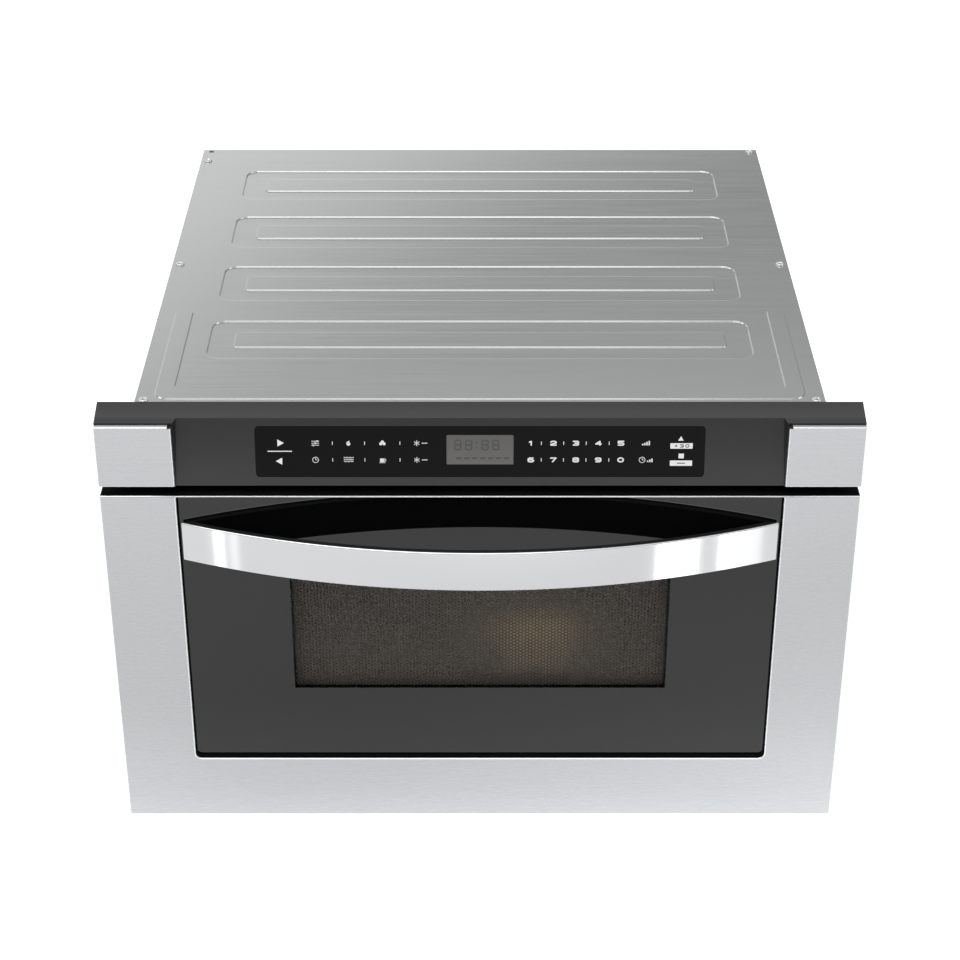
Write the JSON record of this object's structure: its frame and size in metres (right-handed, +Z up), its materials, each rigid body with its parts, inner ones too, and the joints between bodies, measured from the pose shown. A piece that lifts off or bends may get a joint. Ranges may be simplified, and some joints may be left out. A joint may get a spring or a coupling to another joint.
{
  "type": "microwave drawer",
  "caption": "Built-in microwave oven drawer: steel front with dark window and bowed bar handle, leaning touch panel, sliding tub on telescopic slides with rack drive.",
  "frame": {"origin": "centre of the lower face of the bounding box: under the middle of the appliance, level with the lower edge of the drawer front", "axes": "+X to the user's right facing the front, +Y from the handle to the rear, +Z up"},
  "size_m": [0.606, 0.6464, 0.3907],
  "materials": {
    "brushed_front": "stainless steel sheet with a fine horizontal brushing",
    "brushed_casing": "bare steel cover with a fine horizontal grain",
    "polished_steel": "bright stainless bar, finely polished",
    "galvanised": "zinc-coated steel sheet",
    "bright_steel": "bright zinc-plated steel",
    "aluminium_fins": "bare aluminium",
    "lamination": "stacked core plates",
    "copper_enamel": "enamelled copper wire",
    "black_plastic": "moulded black plastic",
    "panel_plastic": "satin dark grey moulded plastic",
    "black_paint": "black painted sheet",
    "cavity_enamel": "light grey enamelled sheet",
    "white_plastic": "white moulded plastic",
    "nylon": "natural nylon",
    "mica": "pressed mica sheet",
    "board_green": "coated circuit board",
    "dark_glass": "dark tinted glass, polished",
    "touch_panel": "black gloss touch panel",
    "display_grey": "grey display window",
    "clear_glass": "clear glass",
    "ceramic_white": "white glass-ceramic plate"
  },
  "bodies": {
    "chassis": {"top_cover": "brushed_casing", "side_panel_left": "galvanised", "side_panel_right": "galvanised", "base_plate": "galvanised", "rear_panel": "galvanised", "cord_gland": "black_plastic", "face_flange": "black_paint", "cavity_shell": "cavity_enamel", "cavity_support": "galvanised", "stirrer_cover": "mica", "waveguide": "galvanised", "stirrer_motor": "white_plastic", "magnetron_yoke": "galvanised", "magnetron_anode": "aluminium_fins", "fan_frame": "black_plastic", "transformer_core": "lamination", "primary_winding": "copper_enamel", "secondary_winding": "copper_enamel", "capacitor": "aluminium_fins", "filter_board": "board_green", "lamp_holder": "galvanised", "oven_lamp": "clear_glass", "rail_bracket_left": "galvanised", "rail_bracket_right": "galvanised", "slide_outer_left": "bright_steel", "slide_outer_right": "bright_steel", "drive_carrier": "galvanised", "drawer_motor": "bright_steel", "interlock_left": "white_plastic", "interlock_right": "white_plastic", "control_panel_housing": "panel_plastic", "trim_cap_left": "brushed_front", "trim_cap_right": "brushed_front", "touch_glass": "touch_panel", "display_lens": "display_grey", "control_board": "board_green"},
    "drawer": {"drawer_front_frame": "brushed_front", "door_glass": "dark_glass", "rf_screen": "black_paint", "door_back_panel": "cavity_enamel", "inner_window": "clear_glass", "choke_ring": "black_plastic", "drawer_tub": "cavity_enamel", "ceramic_tray": "ceramic_white", "handle_bar": "polished_steel", "handle_backing": "black_plastic", "latch_hook_left": "nylon", "latch_hook_right": "nylon", "drawer_arm_left": "galvanised", "drawer_arm_right": "galvanised", "slide_inner_left": "bright_steel", "slide_inner_right": "bright_steel", "rack_left": "nylon", "rack_right": "nylon"},
    "slide_middle_left": {"slide_middle_left": "bright_steel"},
    "slide_middle_right": {"slide_middle_right": "bright_steel"},
    "cross_shaft": {"cross_shaft": "bright_steel"},
    "motor_pinion": {"motor_pinion": "nylon"},
    "stirrer": {"stirrer": "bright_steel"},
    "fan_rotor": {"fan_rotor": "black_plastic"}
  },
  "joints": [
    {"name": "drawer_slide", "type": "slide", "parent": "chassis", "child": "drawer", "axis": [0, -1, 0], "range_m": [0, 0.381]},
    {"name": "middle_left_slide", "type": "slide", "parent": "chassis", "child": "slide_middle_left", "axis": [0, -1, 0], "range_m": [0, 0.1905]},
    {"name": "middle_right_slide", "type": "slide", "parent": "chassis", "child": "slide_middle_right", "axis": [0, -1, 0], "range_m": [0, 0.1905]},
    {"name": "shaft_spin", "type": "hinge", "parent": "chassis", "child": "cross_shaft", "pos_m": [0, -0.21715, 0.029], "axis": [1, 0, 0], "range_deg": [0, 1028]},
    {"name": "motor_spin", "type": "hinge", "parent": "chassis", "child": "motor_pinion", "pos_m": [0, -0.18585, 0.029], "axis": [1, 0, 0], "range_deg": [-1645, 0]},
    {"name": "stirrer_spin", "type": "hinge", "parent": "chassis", "child": "stirrer", "pos_m": [0, -0.03215, 0.2766], "axis": [0, 0, 1], "continuous": true},
    {"name": "fan_spin", "type": "hinge", "parent": "chassis", "child": "fan_rotor", "pos_m": [-0.168, 0.28285, 0.236], "axis": [0, 1, 0], "continuous": true}
  ],
  "couplings": [
    {"joint": "middle_left_slide", "follows": "drawer_slide", "ratio": 0.5},
    {"joint": "middle_right_slide", "follows": "drawer_slide", "ratio": 0.5},
    {"joint": "shaft_spin", "follows": "drawer_slide", "rad_per_m": 47.059},
    {"joint": "motor_spin", "follows": "drawer_slide", "rad_per_m": -75.294}
  ]
}
